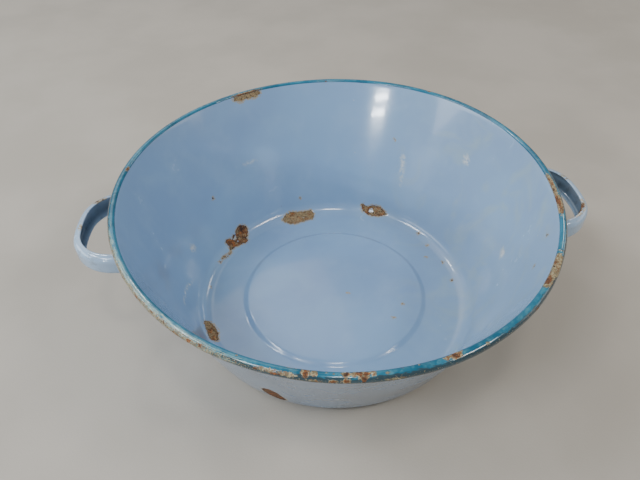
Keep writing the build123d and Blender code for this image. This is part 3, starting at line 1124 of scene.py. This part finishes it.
def floor_finish():
    """A pale matt table."""
    s = Surface("pale_floor")
    colour = s.blend(s.step(s.noise(6, 4), 0.35, 0.65), FLOOR_LIGHT, FLOOR_DARK)
    roughness = s.plus(0.6, s.times(s.noise(40, 3), 0.15))
    return s.finish(colour, roughness, s.times(s.noise(500, 3), 0.1 * MM))


# ---- The studio ----
CAMERA_AZIMUTH = -96.5
CAMERA_DISTANCE = 403.0 * MM
CAMERA_HEIGHT = 440.6 * MM
CAMERA_YAW = -2.02
CAMERA_PITCH = 42.12
CAMERA_ROLL = -1.19
CAMERA_LENS = 31.5
SENSOR_WIDTH = 36         # in millimetres, like the lens
FLOOR_HALF = 3.0
FLOOR_GAP = 0.1 * MM      # the table lies this far below the base
SKY = (0.86, 0.88, 0.92, 1.0)
SKY_STRENGTH = 0.30
WARM = (1.0, 0.95, 0.88)
COOL = (0.92, 0.96, 1.0)
AMBER = (1.0, 0.84, 0.66)
# Name, degrees round, degrees up, distance, width, height, power and colour of each.
LAMPS = [
    ("ceiling_front", -91, 72, 2, 0.26, 0.24, 6, WARM),
    ("ceiling_right", -27, 47, 2, 0.62, 0.22, 11, WARM),
    ("ceiling_left", 178, 50, 2, 0.60, 0.30, 10.5, COOL),
    ("window_front", -139, 52, 2.2, 0.60, 0.45, 15, COOL),
    ("window_left", 118, 44, 2.2, 1.90, 1.20, 7.5, WARM),
    ("window_side", 178, 22, 2.4, 2.00, 0.90, 24, COOL),
    ("window_right", 48, 37, 2.2, 0.36, 0.22, 2, WARM),
    ("glow_right", 5, 20, 2.4, 1.80, 0.80, 6.5, AMBER),
    ("crest_left", 124, 47, 2.1, 0.22, 0.11, 3, COOL),
    ("strip_high", -124, 19.8, 2.4, 0.30, 0.045, 6, COOL),
    ("strip_low", -122.8, 17, 2.4, 0.30, 0.055, 6, COOL),
]


def add_camera():
    data = bpy.data.cameras.new("view")
    data.lens = CAMERA_LENS
    data.sensor_width = SENSOR_WIDTH
    camera = bpy.data.objects.new("view", data)
    bpy.context.scene.collection.objects.link(camera)
    place = Matrix.Translation((0, -CAMERA_DISTANCE, CAMERA_HEIGHT))
    aim = (Matrix.Rotation(radians(-CAMERA_YAW), 4, "Z")
           @ Matrix.Rotation(radians(90 - CAMERA_PITCH), 4, "X")
           @ Matrix.Rotation(radians(CAMERA_ROLL), 4, "Z"))
    camera.matrix_world = Matrix.Rotation(radians(CAMERA_AZIMUTH + 90), 4, "Z") @ place @ aim
    bpy.context.scene.camera = camera


def add_floor():
    mesh = bpy.data.meshes.new("floor")
    signs = ((-1, -1), (1, -1), (1, 1), (-1, 1))
    corners = [(x * FLOOR_HALF, y * FLOOR_HALF, -FLOOR_GAP) for x, y in signs]
    mesh.from_pydata(corners, [], [(0, 1, 2, 3)])
    mesh.materials.append(floor_finish())
    add_object("floor", mesh)


def add_lamp(name, degrees_round, degrees_up, distance, width, height, power, colour):
    """A flat soft light, aimed at the middle of the bowl."""
    data = bpy.data.lights.new(name, "AREA")
    data.shape = "RECTANGLE"
    data.size = width
    data.size_y = height
    data.energy = power
    data.color = colour
    lamp = bpy.data.objects.new(name, data)
    bpy.context.scene.collection.objects.link(lamp)
    turn, up = radians(degrees_round), radians(degrees_up)
    away = Vector((cos(turn) * cos(up), sin(turn) * cos(up), sin(up)))
    lamp.location = away * distance + Vector((0, 0, ROLL[1] / 2))
    lamp.rotation_euler = (-away).to_track_quat("-Z", "Y").to_euler()


def add_world():
    world = bpy.data.worlds.new("studio")
    world.use_nodes = True
    background = world.node_tree.nodes["Background"]
    background.inputs["Color"].default_value = SKY
    background.inputs["Strength"].default_value = SKY_STRENGTH
    bpy.context.scene.world = world


def place(piece, node, slot):
    """Put a piece on the root body and hide the CAD node it replaces; slot, its finish, is not used."""
    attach(piece, "root")
    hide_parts(node)


add_camera()
add_floor()
add_world()
for lamp in LAMPS:
    add_lamp(*lamp)
place(bowl_enamel(), "basin_bowl", "blue_enamel")
place(rim_band(), "rim_band_coat", "teal_enamel")
place(rim_wire(), "rim_wire", "bare_steel")
for name, turn in (("right", 0.0), ("left", pi)):
    place(handle_loop(name, turn), name + "_handle", "blue_enamel")
    place(weld_nuggets(name, turn), name + "_handle_spot_welds", "bare_steel")
